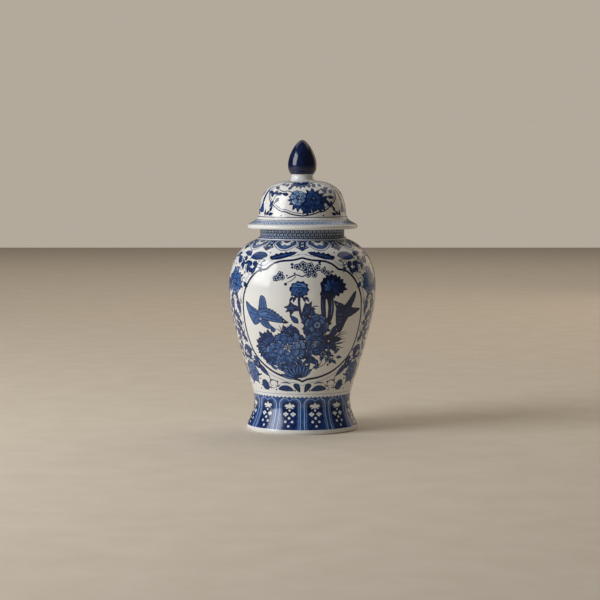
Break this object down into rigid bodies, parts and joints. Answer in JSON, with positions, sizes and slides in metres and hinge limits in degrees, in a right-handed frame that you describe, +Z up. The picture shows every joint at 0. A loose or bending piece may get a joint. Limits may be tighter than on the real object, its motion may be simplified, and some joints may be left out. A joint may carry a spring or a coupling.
{
  "type": "lidded ginger jar",
  "caption": "Covered baluster jar on a flared foot, with a domed brimmed lid that lifts off and turns, topped by a pointed bud knob; blue-and-white painted porcelain.",
  "frame": {"origin": "on the jar's axis, at the plane that the foot's standing ring rests on", "axes": "+Z up along the axis of revolution; -Y is the front, the middle of the painted panel that faces the viewer; +X to the viewer's right"},
  "size_m": [0.2057, 0.2058, 0.404],
  "materials": {
    "painted_porcelain": "clear glaze over hand-painted underglaze cobalt on white porcelain",
    "white_glaze": "clear glaze over plain white porcelain",
    "cobalt_glaze": "deep cobalt glaze, glossy",
    "bare_porcelain": "unglazed fired porcelain, matt"
  },
  "bodies": {
    "jar": {"foot_section": "painted_porcelain", "lower_body": "painted_porcelain", "upper_body": "painted_porcelain", "neck_ring": "painted_porcelain"},
    "lid_ring": {"lid_flange": "bare_porcelain"},
    "lid": {"lid_dome": "painted_porcelain", "finial_collar": "white_glaze", "finial_bud": "cobalt_glaze"}
  },
  "joints": [
    {"name": "lid_lift", "type": "slide", "parent": "jar", "child": "lid_ring", "axis": [0, 0, 1], "range_m": [0, 0.12]},
    {"name": "lid_turn", "type": "hinge", "parent": "lid_ring", "child": "lid", "pos_m": [0, 0, 0.284], "axis": [0, 0, 1], "continuous": true}
  ]
}
